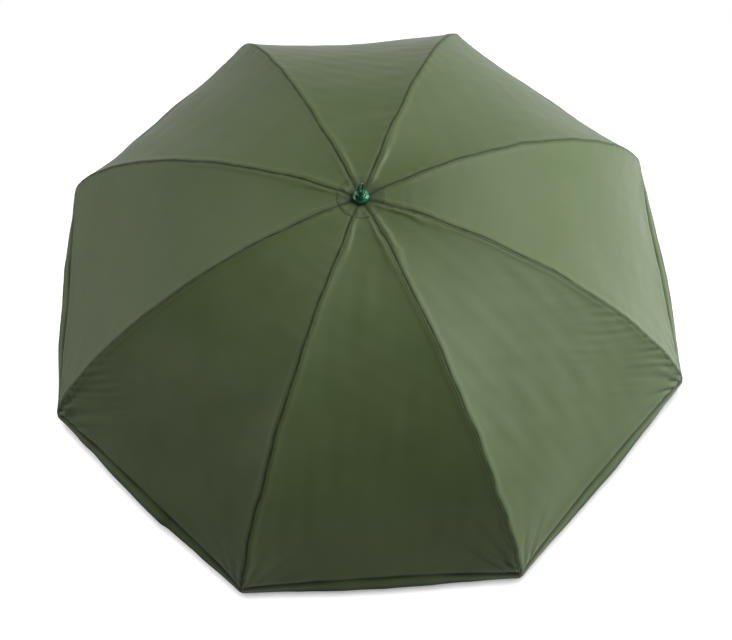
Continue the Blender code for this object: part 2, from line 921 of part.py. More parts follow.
def build_upper_pole(pole, plastic, aluminium, steel):
    upper = tube("upper_tube", tube_radius, tube_inner, upper_tube_bottom, upper_tube_top)
    low = (tube_inner / 2, -catch_width / 2 - catch_window_margin, catch_top - catch_nose_height)
    high = (tube_radius + overrun, catch_width / 2 + catch_window_margin, catch_top + catch_window_margin)
    cut(upper, box("upper_tube_window", low, high))
    put(dress(upper, aluminium), (0, 0, 0), pole)

    stud_hole = finial_stud_radius + seat_gap
    inner = tube_radius + seat_gap
    socket_top = upper_tube_top + seat_gap - hub_height
    outline = [(stud_hole, crown_cover)] + hub_disc_outline(crown_cover)
    outline += [
        (hub_sleeve_radius, -crown_skirt),
        (inner, -crown_skirt),
        (inner, socket_top),
        (stud_hole, socket_top),
    ]
    crown = turned("crown", outline, turned_sides, closed=True)
    put(dress(crown, plastic), (0, 0, hub_height), pole)
    cut_hub_slots(crown, (0, 0, hub_height))

    loop = ring("crown_wire", wire_sides)
    loop.rotation_euler = (0, 0, first_rib_azimuth + pi / ring_segments)
    put(dress(loop, steel), (0, 0, hub_height), pole)


def build_catch(axis, steel):
    """Sprung strip inside the tube, with a nose that holds the runner up."""
    outer = tube_inner - 2 * seat_gap
    inner = outer - catch_strip
    foot = catch_top - catch_length
    nose = tube_radius + catch_nose_reach
    outline = [
        (inner, foot),
        (outer, foot),
        (outer, catch_top - catch_nose_height),
        (nose, catch_top - catch_nose_land),
        (nose, catch_top),
        (outer, catch_top),
        (outer, catch_top + catch_tail),
        (inner, catch_top + catch_tail),
    ]
    put(dress(plate("catch_spring", outline, catch_width), steel), (0, 0, 0), axis)


def build_runner(carrier, plastic, steel):
    bore = tube_radius + sliding_gap
    outline = [(bore, hub_half_thickness)] + hub_disc_outline(hub_half_thickness)
    for number in range(runner_grip_count):
        top = -hub_half_thickness - runner_grip_pitch * (number + 1)
        waist = hub_sleeve_radius - runner_grip_depth
        outline += [
            (hub_sleeve_radius, top),
            (waist, top - 2 * runner_grip_depth),
            (hub_sleeve_radius, top - 4 * runner_grip_depth),
        ]
    foot = runner_foot_height - runner_barrel_length
    outline += [
        (hub_sleeve_radius, foot),
        (runner_foot_radius, foot - edge_chamfer),
        (runner_foot_radius, edge_chamfer - runner_barrel_length),
        (runner_foot_radius - edge_chamfer, -runner_barrel_length),
        (bore, -runner_barrel_length),
    ]
    runner = turned("runner", outline, turned_sides, closed=True)
    put(dress(runner, plastic), (0, 0, runner_height), carrier)
    cut_hub_slots(runner, (0, 0, runner_height))
    loop = ring("runner_wire", wire_sides)
    loop.rotation_euler = (0, 0, first_rib_azimuth + pi / ring_segments)
    put(dress(loop, steel), (0, 0, runner_height), carrier)


def patch_top(reach):
    """Height of the crown patch's upper side over the canopy."""
    return rim_height + canopy_height(reach) + cloth_thickness * 3 / 2 + seat_gap


def build_patch(pole, cloth):
    """Eight-sided reinforcing patch that lies on the canopy under the finial."""
    step = (patch_radius - patch_hole_radius) / patch_rows
    reaches = [patch_radius - step * k for k in range(patch_rows + 1)]
    upper = [(reach, patch_top(reach)) for reach in reaches]
    lower = [(reach, height - cloth_thickness) for reach, height in upper]
    patch = turned("crown_patch", lower + upper[::-1], rib_count, closed=True)
    patch.rotation_euler = (0, 0, first_rib_azimuth)
    put(dress(patch, cloth), (0, 0, 0), pole)


def build_finial(pole, plastic):
    """Domed cap over the crown, with an upright eye and a stud below."""
    boss = patch_hole_radius * cos(half_step) - 2 * seat_gap
    seat = patch_top(finial_radius / cos(half_step)) + seat_gap
    inner_seat = patch_top(boss / cos(half_step)) + seat_gap
    stud_top = hub_height + crown_cover + seat_gap
    outline = [
        (0, seat + finial_neck_height),
        (finial_neck_top_radius - finial_neck_round, seat + finial_neck_height),
        (finial_neck_top_radius, seat + finial_neck_height - finial_neck_round),
    ]
    for step in range(arc_steps + 1):
        turn = pi / 2 * (1 - step / arc_steps)
        out = finial_neck_radius + (finial_radius - finial_neck_radius) * cos(turn)
        up = finial_rim_height + (finial_dome_height - finial_rim_height) * sin(turn)
        outline.append((out, seat + up))
    outline += [
        (finial_radius, seat),
        (boss, inner_seat),
        (boss, stud_top),
        (finial_stud_radius, stud_top),
        (finial_stud_radius, stud_top - finial_stud_length),
        (0, stud_top - finial_stud_length),
    ]
    finial = turned("finial", outline, turned_sides)
    centre = seat + eye_centre_height
    loop = [
        (out * cos(eye_turn), out * sin(eye_turn), centre + eye_half_height / eye_half_width * up)
        for out, up in circle((0, 0), eye_half_width, ring_segments)
    ]
    join(finial, wire("finial_eye", loop, eye_wire_radius, cyclic=True))
    put(dress(finial, plastic), (0, 0, 0), pole)


def build_canopy(crown_axis, cloth, glass_fibre, plastic, steel):
    """Eight ribs with their tips, brackets and stretchers, and the panels."""
    line = rib_line()
    tip_turn = pi / 2 + atan2(line[-2][1] - line[-1][1], line[-1][0] - line[-2][0])
    rib_mesh = build_rib_mesh()
    tip_mesh = build_tip_mesh()
    bracket_mesh = build_bracket_mesh()
    stretcher_mesh = build_stretcher_mesh()
    panel_mesh = build_panel_mesh()
    finishes = (
        (rib_mesh, glass_fibre),
        (tip_mesh, plastic),
        (bracket_mesh, steel),
        (stretcher_mesh, steel),
        (panel_mesh, cloth),
    )
    for mesh, material in finishes:
        mesh.materials.clear()
        mesh.materials.append(material)
    pivot = in_rib_frame(bracket_pivot)
    for number in range(rib_count):
        azimuth = rib_azimuth(number)
        rib = add_object(f"rib_{number + 1}", rib_mesh)
        out = (hub_pivot_radius * cos(azimuth), hub_pivot_radius * sin(azimuth), hub_height)
        rib.rotation_euler = (0, 0, azimuth)
        put(rib, out, crown_axis)
        tip = carried(f"rib_tip_{number + 1}", tip_mesh, rib)
        tip.location = (line[-1][0], 0, line[-1][1])
        tip.rotation_euler = (0, tip_turn, 0)
        carried(f"rib_bracket_{number + 1}", bracket_mesh, rib)
        stretcher = carried(f"stretcher_{number + 1}", stretcher_mesh, rib)
        stretcher.location = (pivot[0], 0, pivot[1])
        stretcher.rotation_euler = (0, pi - stretcher_slope, 0)
        panel = carried(f"canopy_panel_{number + 1}", panel_mesh, rib)
        panel.location = (0, hub_pivot_radius * tan(half_step), 0)


def carried(name, mesh, rib):
    """A piece placed in its rib's own frame."""
    item = add_object(name, mesh)
    item.parent = rib
    return item


def build_umbrella():
    start_scene()
    cloth = finish("olive_nylon_cloth", (0.085, 0.105, 0.050), 0.45)
    patch_cloth = finish("patch_nylon_cloth", (0.070, 0.085, 0.045), 0.5)
    green = finish("green_gloss_plastic", (0.004, 0.060, 0.028), 0.12)
    black = finish("black_nylon", (0.012, 0.012, 0.013), 0.42)
    fibre = finish("black_glass_fibre", (0.014, 0.014, 0.015), 0.35)
    dark_steel = finish("black_steel", (0.020, 0.020, 0.021), 0.38, 0.6)
    steel = finish("zinc_steel", (0.55, 0.56, 0.57), 0.32, 1.0)
    aluminium = finish("satin_aluminium", (0.72, 0.73, 0.74), 0.34, 1.0)

    ground = empty("ground", (0, 0, 0))
    build_ground_end(ground, black, steel, aluminium)
    middle_pole = empty("height_slide", (0, 0, middle_tube_bottom), ground)
    build_middle_pole(middle_pole, black, aluminium)
    build_height_screw(empty("height_screw_axis", (0, 0, clamp_screw_height), middle_pole), black)
    upper_pole = empty("tilt_axis", (0, 0, tilt_height), middle_pole)
    build_tilt_head(upper_pole, black, steel)
    build_tilt_knob(empty("tilt_knob_axis", (0, 0, tilt_height), upper_pole), black)
    build_upper_pole(upper_pole, black, aluminium, steel)
    catch_foot = (tube_inner - 2 * seat_gap, 0, catch_top - catch_length)
    build_catch(empty("catch_axis", catch_foot, upper_pole), steel)
    build_runner(empty("runner_slide", (0, 0, runner_height), upper_pole), black, steel)
    build_patch(upper_pole, patch_cloth)
    build_finial(upper_pole, green)
    build_canopy(upper_pole, cloth, fibre, black, dark_steel)
    bpy.context.view_layer.update()


build_umbrella()
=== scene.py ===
from math import cos, pi, radians, sin

import bmesh
import bpy
import numpy as np
from mathutils import Matrix, Vector


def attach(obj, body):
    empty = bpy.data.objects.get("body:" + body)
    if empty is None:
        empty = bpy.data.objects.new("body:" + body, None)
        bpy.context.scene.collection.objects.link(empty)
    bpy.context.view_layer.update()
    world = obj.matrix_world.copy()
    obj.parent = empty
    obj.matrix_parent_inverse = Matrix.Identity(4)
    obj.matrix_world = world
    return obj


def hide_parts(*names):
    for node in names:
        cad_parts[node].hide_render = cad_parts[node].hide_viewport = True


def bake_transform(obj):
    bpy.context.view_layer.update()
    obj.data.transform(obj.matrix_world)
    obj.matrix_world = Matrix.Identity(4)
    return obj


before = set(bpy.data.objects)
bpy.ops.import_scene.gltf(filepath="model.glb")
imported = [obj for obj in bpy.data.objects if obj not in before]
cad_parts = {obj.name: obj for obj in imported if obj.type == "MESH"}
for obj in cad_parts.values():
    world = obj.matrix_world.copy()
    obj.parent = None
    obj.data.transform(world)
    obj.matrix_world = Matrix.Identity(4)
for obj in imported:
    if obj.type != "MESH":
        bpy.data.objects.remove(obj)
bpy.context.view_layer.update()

# Canopy, the same curve and gores as in the solid model
rim_radius = 1.05
rim_height = 1.80355
canopy_depth = 0.53
shoulder_reach = 0.625
shoulder_rise = 0.075
brim_reach = 1.048
brim_height = 0.112
panel_belly = 0.020
hem_flare = 0.018
hem_rise = 0.010
cloth_thickness = 0.0008
seam_overlap = 0.0003
panel_start_radius = 0.016
first_rib_azimuth = radians(68.74)
rib_count = 8
half_step = pi / rib_count

# Cloth grid and sewing
gore_columns = 84
gore_rows = 120
hem_width = 0.028
hem_turns = 5
seam_strip_width = 0.0042
stitch_pitch = 0.0034
stitch_length = 0.0025
stitch_radius = 0.00022
stitch_rows = (-0.0012, 0.0012)
hem_row_half_length = 0.383
hem_row_inset = 0.0012
seam_strip_offset = 0.0040
seam_hem_gap = 0.0015

# Crown patch
patch_radius = 0.070
patch_hole_radius = 0.0135
patch_edge_width = 0.006
patch_lift = 0.0014
patch_stitches = 16
patch_stitch_inset = 0.003

# Finial, whose flange lies on the patch and whose stud goes into the crown
finial_flange = 0.027
finial_seat = 2.33836
finial_stud_top = 2.3344
finial_stud_radius = 0.0119
finial_bore_radius = 0.005
finial_bore_depth = 0.022
finial_neck_top = 0.036
eye_half_width = 0.0072
eye_half_height = 0.017
eye_tube_radius = 0.003
eye_height = 0.0530
eye_turn = radians(38)


def curve_point(share):
    """Radius, height above the rim and downward slope of a rib's line."""
    rest = 1 - share
    reach = 3 * rest**2 * share * shoulder_reach + 3 * rest * share**2 * brim_reach + share**3 * rim_radius
    height = rest**3 * canopy_depth
    height = height + 3 * rest**2 * share * (canopy_depth + shoulder_rise) + 3 * rest * share**2 * brim_height
    run = 3 * rest**2 * shoulder_reach + 6 * rest * share * (brim_reach - shoulder_reach)
    run = run + 3 * share**2 * (rim_radius - brim_reach)
    drop = -3 * rest**2 * shoulder_rise - 6 * rest * share * (brim_height - canopy_depth - shoulder_rise)
    drop = drop + 3 * share**2 * brim_height
    return reach, height, np.arctan2(drop, run)


share_table = np.linspace(0, 1, 4001)
reach_table, height_table, slope_table = curve_point(share_table)
step_table = np.hypot(np.diff(reach_table), np.diff(height_table))
length_table = np.concatenate([[0], np.cumsum(step_table)])
rib_line_length = length_table[-1]


def share_at_reach(reach):
    return np.interp(reach, reach_table, share_table)


def share_from_hem(distance):
    return np.interp(rib_line_length - distance, length_table, share_table)


def hem_distance(share):
    return rib_line_length - np.interp(share, share_table, length_table)


def gore_point(share, across):
    """Cloth before its folds, with the gore's middle along X."""
    bow = 1 - across**2
    lift = hem_rise / (3 * brim_height) * share**4 * bow
    reach, height, slope = curve_point(share * (1 - lift))
    width = 2 * reach * sin(half_step)
    side = across * (1 + 2 * seam_overlap / width)
    inwards = (panel_belly * reach / rim_radius - (panel_belly + hem_flare) * share**10) * bow
    middle = reach * cos(half_step) - inwards * np.sin(slope)
    return np.stack([middle, side * width / 2, height - inwards * np.cos(slope)], axis=-1)


def gore_normal(share, across):
    """Outward direction of the cloth at a point of a gore."""
    step = 1e-4
    inner, outer = np.maximum(share - step, 1e-3), np.minimum(share + step, 1.0)
    along = gore_point(outer, across) - gore_point(inner, across)
    left, right = np.maximum(across - step, -1.0), np.minimum(across + step, 1.0)
    over = gore_point(share, right) - gore_point(share, left)
    normal = np.cross(along, over)
    return normal / np.linalg.norm(normal, axis=-1, keepdims=True)


def lift_direction(share, across):
    """Outward direction that two neighbouring gores share at their seam."""
    normal = gore_normal(share, across)
    width = 2 * curve_point(share)[0] * sin(half_step)
    for turn, distance in ((-half_step, (1 + across) / 2 * width), (half_step, (1 - across) / 2 * width)):
        aside = -sin(turn) * normal[..., 0] + cos(turn) * normal[..., 1]
        aside = aside * np.exp(-((distance / 0.012) ** 2))
        normal = normal - np.stack([-sin(turn) * aside, cos(turn) * aside, 0 * aside], axis=-1)
    return normal


def ripple(values, seed, pitch, count=5):
    """Uneven waves from -1 to 1 along a line, the same ones each time."""
    draw = np.random.default_rng(seed)
    total = 0
    for _ in range(count):
        total = total + np.sin(values * 2 * pi / (pitch * draw.uniform(0.6, 1.8)) + draw.uniform(0, 2 * pi))
    return total / count**0.5 / 1.5


def billow(x, y, seed, pitch, count=7):
    """Soft uneven waves over a surface."""
    draw = np.random.default_rng(seed)
    total = 0
    for _ in range(count):
        turn = draw.uniform(0, pi)
        phase = draw.uniform(0, 2 * pi)
        total = total + np.sin((x * cos(turn) + y * sin(turn)) * 2 * pi / (pitch * draw.uniform(0.6, 1.7)) + phase)
    return total / count**0.5 / 1.5


def bump(values, centre, width):
    return np.exp(-(((values - centre) / width) ** 2))


# How strongly the cloth drags from each rib's end, rib 1 first: on the side of
# the next gore, then on the side of the last one
tip_pull = ((0.5, 0.4), (0.5, 0.4), (0.5, 0.5), (1.9, 0.6), (0.5, 0.5), (0.6, 0.8), (0.5, 1.6), (0.6, 0.5))
# How far the drag folds reach up each seam, in metres
drag_reach = ((0.10, 0.10), (0.10, 0.10), (0.12, 0.10), (0.26, 0.10), (0.12, 0.10), (0.12, 0.16), (0.10, 0.42),
              (0.14, 0.10))
# Steepness of the drag folds, as rise along the seam over distance from it
drag_rise = 1.05
# How high the cloth stands beside each seam near the crown, in the same order
crown_pull = ((0.5, 1.8), (0.3, 0.6), (0.7, 0.3), (0.3, 0.8), (0.8, 0.5), (1.2, 1.4), (0.4, 1.5), (0.8, 0.4))
# How loosely each gore's hem hangs between its ribs
hem_slack = (0.3, 0.4, 0.5, 1.0, 0.6, 0.4, 0.3, 0.3)
# How far each hem tucks itself in under the gore
hem_tuck = (0.008, 0.006, 0.002, 0.001, 0.006, 0.007, 0.002, 0.006)
# One slack hem stands out and ends in a kink: its gore, place across and height
kink_gore = 3
kink_across = 0.22
kink_height = 0.009
# How far the seams wander to either side of their ribs, and how high they stand on them
seam_wander = 0.0026
seam_lift = 0.0012


def seam_depth(reach):
    return 0.0022 + 0.0010 * np.exp(-(((reach - 0.16) / 0.12) ** 2))


def drag_folds(rib, side, distance, up):
    """Folds that the cloth drags from a rib's end and from the seam above it."""
    pull, reach = tip_pull[rib][side], drag_reach[rib][side]
    out = np.hypot(distance, up)
    turn = np.arctan2(up, distance + 1e-6)
    fan = np.sin(turn * 15 + 1.3 * side + rib) + 0.5 * np.sin(turn * 26 + 2 * rib + side)
    total = 0.0024 * pull * (out / 0.05) * np.exp(1 - out / 0.05) * fan * np.sin(np.clip(turn, 0, pi / 2) * 2) ** 0.5
    along = up - drag_rise * distance + 0.010 * np.sin(up * 21 + rib)
    wave = np.sin(along * 2 * pi / 0.043 + 2.1 * rib) + 0.6 * np.sin(along * 2 * pi / 0.027 + rib + side)
    patchy = 1 + 0.5 * np.sin(up * 33 + 2 * rib + side)
    envelope = np.exp(-((distance / (0.085 * patchy)) ** 1.5)) * np.clip(distance / 0.010, 0, 1)
    total = total + 0.0026 * pull * wave * envelope * np.exp(-((np.clip(along, 0, None) / reach) ** 2))
    return total * (1 - np.exp(-((up / 0.045) ** 2)))


def folds(number, share, across):
    """Height of the cloth's folds above the smooth gore, in metres."""
    reach = curve_point(share)[0]
    width = 2 * reach * sin(half_step)
    near, far = (1 + across) / 2 * width, (1 - across) / 2 * width
    up = hem_distance(share)
    inside = np.minimum(near, far)
    fade = np.clip(inside / 0.02, 0, 1)
    total = 0.0022 * billow(near - width / 2, up, 40 + number, 0.34) * np.clip(inside / 0.12, 0, 1)
    total = total + 0.0006 * billow(near - width / 2, up, 60 + number, 0.09) * np.clip(inside / 0.05, 0, 1)
    for side, distance in enumerate((near, far)):
        rib = (number + side) % rib_count
        pucker = ripple(up, 100 + 2 * rib + side, 0.030)
        strong = 0.4 + 0.6 * np.exp(-up / 0.25) + 0.4 * np.exp(-reach / 0.15)
        roll = (distance / 0.011) ** 2 * np.exp(1 - (distance / 0.011) ** 2)
        roll = 0.7 * roll + 0.5 * (distance / 0.022) * np.exp(1 - distance / 0.022)
        total = total + seam_depth(reach) * roll * (1 + 0.35 * pucker) + seam_lift * bump(distance, 0, 0.008)
        total = total + 0.0008 * strong * pucker * np.exp(-distance / 0.018) * np.clip(distance / 0.004, 0, 1)
        total = total + drag_folds(rib, side, distance, up)
        line = 0.011 + 0.06 * np.clip(reach - 0.05, 0, 1) + 0.003 * ripple(up, 600 + 2 * rib + side, 0.08)
        lick = bump(distance, line, 0.4 * line) * bump(reach, 0.15, 0.08) * (1 + 0.5 * ripple(up, 620 + rib, 0.06))
        total = total + 0.0022 * crown_pull[rib][side] * lick
    flutter = ripple(near - width / 2, 200 + number, 0.20) + 0.3 * ripple(near, 220 + number, 0.08)
    slack = hem_slack[number] * np.clip(inside / 0.16, 0, 1) ** 2
    total = total + 0.0032 * slack * flutter * np.exp(-up / 0.045)
    if number == kink_gore:
        rise = np.clip((across - kink_across + 0.75) / 0.75, 0, 1) ** 2 * (across < kink_across)
        rise = rise + bump(across, kink_across, 0.03) * (across >= kink_across)
        total = total + kink_height * rise * np.exp(-((up / 0.022) ** 2))
    total = total - hem_tuck[number] * np.exp(-((up / 0.017) ** 2)) * (1 - np.exp(-((inside / 0.09) ** 2)))
    total = total - 0.0042 * bump(up, hem_width, 0.0075) * fade
    total = total + 0.0012 * (1 + 0.5 * ripple(near, 240 + number, 0.03)) * bump(up, 0.012, 0.010) * fade
    total = total + 0.0016 * bump(up, hem_width + 0.022, 0.015) * fade
    return total * np.clip((reach - finial_flange) / 0.03, 0, 1)


def seam_swing(number, share, across):
    """Angle by which the cloth near a seam wanders round the pole."""
    reach = curve_point(share)[0]
    up = hem_distance(share)
    total = 0
    for side, distance in enumerate(((1 + across) * reach, (1 - across) * reach)):
        path = ripple(up, 500 + (number + side) % rib_count, 0.19, 4)
        total = total + path * np.exp(-((distance * sin(half_step) / 0.07) ** 2))
    return seam_wander * total * np.clip(reach / 0.15, 0, 1) * np.clip(up / 0.12, 0, 1) / np.maximum(reach, 0.05)


def cloth_point(number, share, across, lift=0.0):
    """A point of the finished cloth of one gore, in the part's frame."""
    share, across = np.broadcast_arrays(np.asarray(share, float), np.asarray(across, float))
    local = gore_point(share, across)
    local = local + lift_direction(share, across) * (folds(number, share, across) + lift)[..., None]
    turn = first_rib_azimuth + half_step + number * 2 * half_step + seam_swing(number, share, across)
    x = local[..., 0] * np.cos(turn) - local[..., 1] * np.sin(turn)
    y = local[..., 0] * np.sin(turn) + local[..., 1] * np.cos(turn)
    return np.stack([x, y, local[..., 2] + rim_height], axis=-1)


def painted_crease_shade(number, share, across):
    """Painted shade from 0 to 1: how deep a point lies in a seam, in the hem's crease or fold, or in a drag fold's
    valley.
    """
    reach = curve_point(share)[0]
    width = 2 * reach * sin(half_step)
    near, far = (1 + across) / 2 * width, (1 - across) / 2 * width
    up = hem_distance(share)
    uneven = 1 + 0.3 * ripple(up, 400 + number, 0.08)
    # Painted shade in the seams' grooves
    seam = np.maximum(bump(near, 0, 0.0056), bump(far, 0, 0.0056)) * uneven
    # Painted shade in the hem's crease and at its fold
    crease = 0.8 * bump(up, hem_width, 0.0075) + 0.5 * bump(up, 0, 0.006)
    # Painted shade in the valleys of the drag folds
    valleys = 0
    for side, distance in enumerate((near, far)):
        valleys = valleys - drag_folds((number + side) % rib_count, side, distance, up) / 0.006
    valleys = 0.35 * np.clip(valleys, 0, 1)
    return np.clip(seam + valleys + crease * (1 + 0.3 * ripple(near, 420 + number, 0.15)), 0, 1)


def seam_point(rib, share, offset, lift=0.0):
    """A point beside a seam: offset in metres towards the next gore or the last."""
    share, offset = np.broadcast_arrays(np.asarray(share, float), np.asarray(offset, float))
    width = 2 * curve_point(share)[0] * sin(half_step)
    on_next = cloth_point(rib, share, np.clip(-1 + 2 * np.abs(offset) / width, -1, 1), lift)
    on_last = cloth_point((rib - 1) % rib_count, share, np.clip(1 - 2 * np.abs(offset) / width, -1, 1), lift)
    middle = (cloth_point(rib, share, -1.0, lift) + cloth_point((rib - 1) % rib_count, share, 1.0, lift)) / 2
    blend = np.clip(np.abs(offset) / 0.0012, 0, 1)[..., None]
    beside = np.where((offset > 0)[..., None], on_next, on_last)
    return middle * (1 - blend) + beside * blend


def add_piece(name, mesh, material):
    item = bpy.data.objects.new(name, mesh)
    bpy.context.scene.collection.objects.link(item)
    mesh.materials.append(material)
    return item


def grid_mesh(name, points, flat=None, loop=False, painted_shade=None):
    """A mesh over a table of points, with its pattern map in metres."""
    rows, columns = points.shape[:2]
    bm = bmesh.new()
    corners = [[bm.verts.new(point) for point in row] for row in points]
    layer = bm.loops.layers.uv.new("flat") if flat is not None else None
    for r in range(rows - 1):
        for c in range(columns if loop else columns - 1):
            cells = [(r, c), (r + 1, c), (r + 1, (c + 1) % columns), (r, (c + 1) % columns)]
            face = bm.faces.new([corners[i][j] for i, j in cells])
            face.smooth = True
            if layer:
                for corner, (i, j) in zip(face.loops, cells):
                    corner[layer].uv = flat[i, j]
    mesh = bpy.data.meshes.new(name)
    bm.to_mesh(mesh)
    bm.free()
    # The painted shade mask, if given, is stored as a point attribute
    if painted_shade is not None:
        mesh.attributes.new("painted_shade", "FLOAT", "POINT").data.foreach_set("value", painted_shade.astype(np.float32).ravel())
    return mesh


# Shader helpers
def new_material(name, colour, roughness, metallic=0.0):
    material = bpy.data.materials.new(name)
    material.use_nodes = True
    shader = material.node_tree.nodes["Principled BSDF"]
    shader.inputs["Base Color"].default_value = (*colour, 1)
    shader.inputs["Roughness"].default_value = roughness
    shader.inputs["Metallic"].default_value = metallic
    return material, material.node_tree, shader


def srgb(red, green, blue):
    values = [v / 255 for v in (red, green, blue)]
    return tuple(v / 12.92 if v <= 0.04045 else ((v + 0.055) / 1.055) ** 2.4 for v in values)


def noise_of(tree, vector, scale, detail=3.0):
    noise = tree.nodes.new("ShaderNodeTexNoise")
    noise.inputs["Scale"].default_value = scale
    noise.inputs["Detail"].default_value = detail
    tree.links.new(vector, noise.inputs["Vector"])
    return noise.outputs["Fac"]


def remap(tree, value, low, high, to_low, to_high):
    node = tree.nodes.new("ShaderNodeMapRange")
    for name, number in zip(("From Min", "From Max", "To Min", "To Max"), (low, high, to_low, to_high)):
        node.inputs[name].default_value = number
    tree.links.new(value, node.inputs["Value"])
    return node.outputs["Result"]


def mix_colour(tree, factor, first, second, mode="MIX"):
    node = tree.nodes.new("ShaderNodeMix")
    node.data_type = "RGBA"
    node.blend_type = mode
    for socket, value in ((node.inputs[0], factor), (node.inputs[6], first), (node.inputs[7], second)):
        if isinstance(value, bpy.types.NodeSocket):
            tree.links.new(value, socket)
        elif isinstance(value, tuple):
            socket.default_value = (*value, 1)
        else:
            socket.default_value = value
    return node.outputs[2]


def mixed_value(tree, factor, first, second):
    node = tree.nodes.new("ShaderNodeMix")
    tree.links.new(factor, node.inputs[0])
    tree.links.new(first, node.inputs[2])
    node.inputs[3].default_value = second
    return node.outputs[0]


def bumped(tree, shader, height, distance, strength=1.0):
    node = tree.nodes.new("ShaderNodeBump")
    node.inputs["Strength"].default_value = strength
    node.inputs["Distance"].default_value = distance
    tree.links.new(height, node.inputs["Height"])
    tree.links.new(node.outputs["Normal"], shader.inputs["Normal"])


def scaled(tree, vector, scale):
    node = tree.nodes.new("ShaderNodeMapping")
    node.inputs["Scale"].default_value = scale
    tree.links.new(vector, node.inputs["Vector"])
    return node.outputs["Vector"]


def weave_group():
    """Plain weave from a flat map in metres: its height and a tone mask."""
    group = bpy.data.node_groups.new("weave", "ShaderNodeTree")
    group.interface.new_socket("Vector", in_out="INPUT", socket_type="NodeSocketVector")
    group.interface.new_socket("Height", in_out="OUTPUT", socket_type="NodeSocketFloat")
    group.interface.new_socket("Tone", in_out="OUTPUT", socket_type="NodeSocketFloat")
    start = group.nodes.new("NodeGroupInput")
    end = group.nodes.new("NodeGroupOutput")
    bands = []
    for axis in ("X", "Y"):
        wave = group.nodes.new("ShaderNodeTexWave")
        wave.bands_direction = axis
        wave.inputs["Scale"].default_value = 420
        wave.inputs["Distortion"].default_value = 0.6
        group.links.new(start.outputs["Vector"], wave.inputs["Vector"])
        bands.append(wave.outputs["Fac"])
    both = group.nodes.new("ShaderNodeMath")
    both.operation = "MULTIPLY"
    group.links.new(bands[0], both.inputs[0])
    group.links.new(bands[1], both.inputs[1])
    group.links.new(both.outputs[0], end.inputs["Height"])
    group.links.new(noise_of(group, start.outputs["Vector"], 5, 5), end.inputs["Tone"])
    return group


weave = weave_group()


def cloth_material(name, colour, dusty, uv="flat", gloss=0.4, sheen=0.25):
    """Woven cloth with uneven tone and a painted highlight on its raised threads; where its point attribute of
    painted shade is high, the base colour is darkened as painted shade and the roughness rises.
    """
    material, tree, shader = new_material(name, colour, 0.52)
    shader.inputs["Specular IOR Level"].default_value = gloss
    shader.inputs["Sheen Weight"].default_value = sheen
    shader.inputs["Sheen Roughness"].default_value = 0.45
    if uv:
        coords = tree.nodes.new("ShaderNodeUVMap")
        coords.uv_map = uv
        vector = coords.outputs["UV"]
    else:
        vector = tree.nodes.new("ShaderNodeTexCoord").outputs["Object"]
    pattern = tree.nodes.new("ShaderNodeGroup")
    pattern.node_tree = weave
    tree.links.new(vector, pattern.inputs["Vector"])
    tone = remap(tree, pattern.outputs["Tone"], 0.35, 0.65, 0, 1)
    shade = mix_colour(tree, tone, colour, dusty)
    # Painted highlight: the raised threads of the weave are drawn lighter than the hollows between them
    thread = remap(tree, pattern.outputs["Height"], 0, 1, 0, 0.18)
    raised_thread_highlight = tuple(min(1, c * 1.35) for c in colour)
    shade = mix_colour(tree, thread, shade, raised_thread_highlight)
    dull = remap(tree, pattern.outputs["Tone"], 0.3, 0.7, 0.46, 0.58)
    if uv:
        painted_shade = tree.nodes.new("ShaderNodeAttribute")
        painted_shade.attribute_name = "painted_shade"
        # Painted shade: the base colour darkens towards a quarter of itself where the shade mask is high; the
        # roughness rises there too
        painted_shade_colour = tuple(c * 0.25 for c in colour)
        shade = mix_colour(tree, remap(tree, painted_shade.outputs["Fac"], 0, 1, 0, 0.9), shade, painted_shade_colour)
        dull = mixed_value(tree, painted_shade.outputs["Fac"], dull, 1.0)
    tree.links.new(shade, shader.inputs["Base Color"])
    tree.links.new(dull, shader.inputs["Roughness"])
    bumped(tree, shader, pattern.outputs["Height"], 0.00005, 0.6)
    return material


def plastic_material(name, colour, worn, roughness, grainy=0.5, ior=1.5, shine=(1, 1, 1)):
    material, tree, shader = new_material(name, colour, roughness)
    shader.inputs["IOR"].default_value = ior
    shader.inputs["Specular Tint"].default_value = (*shine, 1)
    vector = tree.nodes.new("ShaderNodeTexCoord").outputs["Object"]
    cloud = noise_of(tree, vector, 60, 4)
    tree.links.new(mix_colour(tree, remap(tree, cloud, 0.5, 0.75, 0, 0.7), colour, worn), shader.inputs["Base Color"])
    grain = noise_of(tree, vector, 2200, 2)
    tree.links.new(remap(tree, cloud, 0.3, 0.7, roughness * 0.8, roughness * 1.25), shader.inputs["Roughness"])
    bumped(tree, shader, grain, 0.00006, grainy)
    return material


def metal_material(name, colour, roughness, stretch, metallic=1.0):
    """Metal with fine streaks along one axis and a few dull marks."""
    material, tree, shader = new_material(name, colour, roughness, metallic)
    vector = tree.nodes.new("ShaderNodeTexCoord").outputs["Object"]
    streak = noise_of(tree, scaled(tree, vector, stretch), 1.0, 4)
    cloud = noise_of(tree, vector, 25, 5)
    dull = tuple(c * 0.72 for c in colour)
    tree.links.new(mix_colour(tree, remap(tree, cloud, 0.5, 0.72, 0, 0.6), colour, dull), shader.inputs["Base Color"])
    tree.links.new(remap(tree, streak, 0.3, 0.7, roughness - 0.07, roughness + 0.09), shader.inputs["Roughness"])
    bumped(tree, shader, streak, 0.00003, 0.5)
    return material


